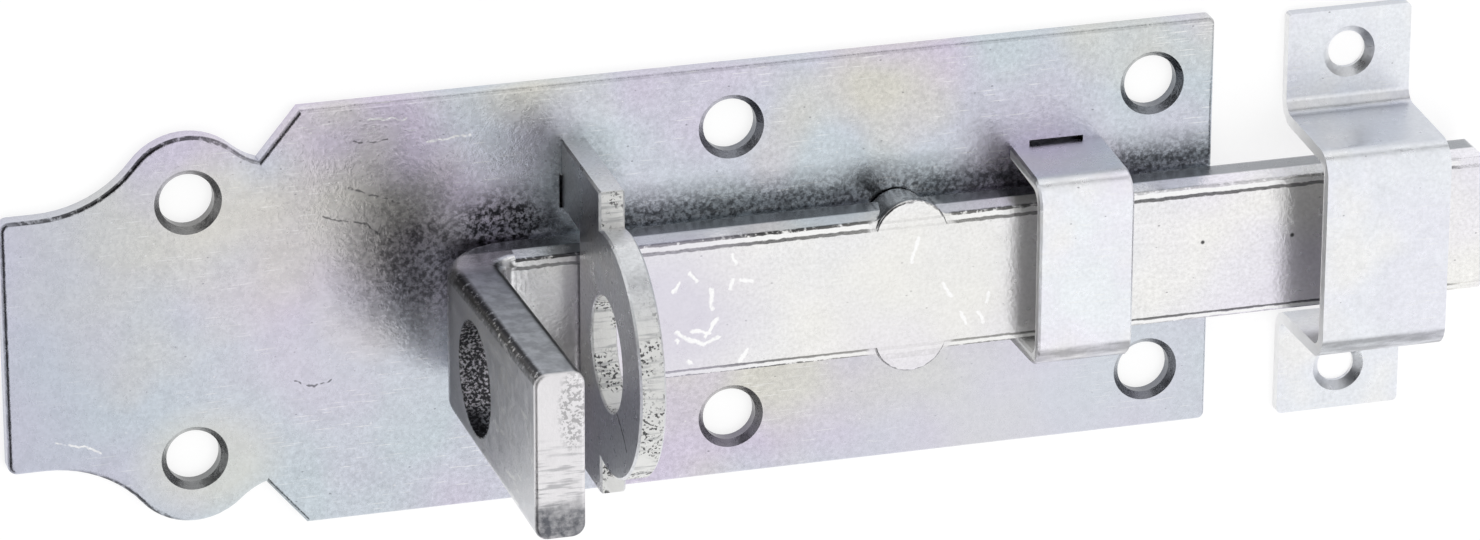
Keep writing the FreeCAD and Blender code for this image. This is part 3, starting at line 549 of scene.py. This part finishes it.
specks = add(tree, "Math", patch(tree, mm, (77.6, -0.1, BAR_FRONT), (0.32, 0.32, 1.0)),
             patch(tree, mm, (66.8, 0.2, BAR_FRONT), (0.3, 0.3, 1.0)), operation="MAXIMUM")
scuff = stroke(tree, loose, ((27.3, 6.7, 8.3), (28.0, 7.6, 8.2), (29.3, 8.7, 8.1), (30.8, 9.1, 8.0)), 0.5)
scuff = overlap(tree, scuff, broken)
coat(bolt, "#18181C", 0.9, add(tree, "Math", specks, scuff, operation="MAXIMUM"))
print(len(NICKS), "nicks")

# %% [markdown]
# ## The lug
#
# The lug is the bar's end, bent up hot and beaten, so it is rougher than the bar. Its long side, which faces up, is
# painted a mottled darker grey as shade, and its arrises and rounded edges get black painted shade, broken by pits.
# Its left face is worn grey with pale scuffs. Its end has been hit bare and white, pitted at one corner and dark and
# lined at the other. Its hole is punched, and its wall is painted nearly black as shade. Each is found by which way
# the metal faces and how high it is.

# %% The lug's long side and its arrises
on_lug = add(tree, "MapRange", bolt.z, 9.0, 12.0)
pits = add(tree, "MapRange", clouds(tree, mm, 0.5, 3.0, 8.0), 0.49, 0.54)
pitted = add(tree, "Math", broken, pits, operation="MAXIMUM")
# The long side that faces up is painted a mottled darker grey: painted shade.
sawn = overlap(tree, add(tree, "MapRange", bolt.facing[1], 0.75, 0.9), on_lug)
coat(bolt, "#A2A7AF", 0.8, sawn)
coat(bolt, "#55575D", 0.38, sawn, add(tree, "MapRange", clouds(tree, mm, 1.6, 5.0, 25.0), 0.40, 0.58))
# Both arrises of the long side get black painted shade, broken by pits.
both_sides = add(tree, "Math", add(tree, "MapRange", bolt.x, -16.6, -16.3), add(tree, "MapRange", bolt.x, -20.1, -20.5),
                 operation="MAXIMUM")
coat(bolt, "#222226", 0.75, both_sides, sawn, pitted)
# The rounded edges between the long side and the faces get black painted shade, broken by pits on the left.
left_fold = overlap(tree, add(tree, "MapRange", bolt.facing[0], -0.15, -0.35), pitted)
fold = add(tree, "Math", left_fold, add(tree, "MapRange", bolt.facing[0], 0.15, 0.35), operation="MAXIMUM")
coat(bolt, "#222226", 0.85, fold, band(tree, bolt.facing[1], 0.24, 0.90, 0.10), on_lug)
print("the lug's long side is sawn")

# %% The lug's left face
left_face = overlap(tree, add(tree, "MapRange", bolt.facing[0], -0.8, -0.95), on_lug)
coat(bolt, "#E6E8EC", left_face, add(tree, "MapRange", clouds(tree, mm, 0.7, 4.0, 31.0), 0.36, 0.64, 0.30, 0.85))
coat(bolt, "#FFFFFF", 0.8, left_face,
     add(tree, "MapRange", clouds(tree, mm, 2.2, 5.0, 37.0, (1.0, 0.6, 2.2)), 0.60, 0.66))
print("the lug's left face is scuffed")

# %% The lug's end and hole
LUG_END = 44.5
end = add(tree, "MapRange", bolt.z, LUG_END - 0.4, LUG_END - 0.1)
coat(bolt, "#F8F6F8", 0.9, end)
low = add(tree, "MapRange", add(tree, "SeparateXYZ", ragged(tree, mm, 2.0, 1.6), out=1), -5.5, -7.5)
coat(bolt, "#6C6E74", low, end, add(tree, "MapRange", clouds(tree, mm, 1.2, 4.0, 12.0), 0.36, 0.60, 0.55, 1.0))
coat(bolt, "#74767C", 0.45, add(tree, "MapRange", clouds(tree, mm, 0.5, 2.0, 15.0, (8.0, 1.0, 1.0)), 0.50, 0.64), end,
     add(tree, "MapRange", bolt.y, 2.0, -2.0))
flat = add(tree, "CombineXYZ", 0.0, bolt.y, bolt.z)
out = add(tree, "VectorMath", flat, (0, BAR_MIDDLE, EAR_MIDDLE[2]), operation="DISTANCE", out="Value")
bore = add(tree, "MapRange", out, 6.65, 6.45)
# The hole's wall is painted nearly black: painted shade, speckled. The corner patch beside it is pits.
in_hole = overlap(tree, 0.92, bore, add(tree, "MapRange", clouds(tree, mm, 0.34, 2.0, 44.0), 0.60, 0.48))
at_corner = overlap(tree, 0.42, pits, end, patch(tree, mm, (-16.9, 4.5, LUG_END), (1.9, 5.5, 4.0), 0.6))
coat(bolt, "#242428", add(tree, "Math", in_hole, at_corner, operation="MAXIMUM"))
rougher = add(tree, "Math", bore, on_lug, operation="MAXIMUM")
bolt.rough = add(tree, "Math", rougher, 0.22, bolt.rough, operation="MULTIPLY_ADD")
dress("sliding_bolt", bolt)

# %% [markdown]
# ## The strap and the keeper
#
# Both are bent from thin strip, which was plated after bending. The bath hardly reaches inside, so the inside is pale
# and chalky and mirrors little: less metallic and rougher. The outer bends are stretched. The lower outer bend and the
# hollow at the foot get streaked painted shade, and the side that faces up is painted greyer as shade. The cut edges
# that look left are bare, and they are painted bright as a highlight. One function finishes both, since only their
# sizes and tints differ.

# %% Zinc on bent strip
def bent_zinc(name, tints, drift, roughness, seed, chalk, inner, front, middle):
    """Finishes a strap that is hollow within inner mm of its middle line y and below front mm.

    Hollow is where the distance from the middle line is under inner and the height is under front.
    """
    strap = zinc(name, tints, drift, 0.022, roughness, seed)
    tree, mm = strap.tree, strap.mm
    across = add(tree, "Math", strap.y, middle, operation="SUBTRACT")
    across = add(tree, "Math", across, operation="ABSOLUTE")
    hollow = overlap(tree, add(tree, "MapRange", across, inner, inner - 0.2),
                     add(tree, "MapRange", strap.z, front, front - 0.15))
    coat(strap, chalk, 0.9, hollow)
    # The lower outer bend and the hollow at the upper foot get streaked painted shade.
    streaks = add(tree, "MapRange", clouds(tree, mm, 1.0, 3.0, 6.0, (5.0, 1.0, 1.0)), 0.36, 0.60, 0.35, 0.85)
    bend = overlap(tree, band(tree, strap.facing[1], -0.93, -0.20, 0.12), add(tree, "MapRange", strap.z, 9.0, 10.0),
                   streaks)
    foot = overlap(tree, 0.45, band(tree, strap.facing[1], 0.35, 0.80, 0.15),
                   add(tree, "MapRange", strap.z, 5.0, 4.0))
    coat(strap, "#303036", 0.62, add(tree, "Math", bend, foot, operation="MAXIMUM"))
    # The outer side that faces up is painted greyer: painted shade.
    coat(strap, "#B4B8C2", 0.5, add(tree, "MapRange", strap.facing[1], 0.88, 0.97),
         add(tree, "MapRange", across, inner, inner + 0.2))
    # The cut edges that look left are bare, and painted bright as a painted highlight.
    cut = add(tree, "MapRange", strap.facing[0], -0.7, -0.9)
    coat(strap, "#FFFFFF", 0.9, cut)
    strap.rough = add(tree, "Math", cut, 0.35, strap.rough, operation="MULTIPLY_ADD")
    strap.rough = add(tree, "Math", hollow, 0.4, strap.rough, operation="MULTIPLY_ADD")
    metallic = add(tree, "Math", hollow, -0.9, 1.0, operation="MULTIPLY_ADD")
    tree.links.new(metallic, tree.nodes["Principled BSDF"].inputs["Metallic"])
    return strap


dress("guide_strap", bent_zinc("zinc_on_bent_strap", ("#F0F4F8", "#F1EFF8", "#F4F3F2"), drift=14.0, roughness=0.29,
                               seed=23.0, chalk="#F6F6F4", inner=10.6, front=12.4, middle=0.0))
dress("keeper", bent_zinc("zinc_on_bent_keeper", ("#ECEFF4", "#EBECF4", "#F2F2F2"), drift=16.0, roughness=0.30,
                          seed=47.0, chalk="#DCDCDA", inner=11.3, front=14.4, middle=-0.75))
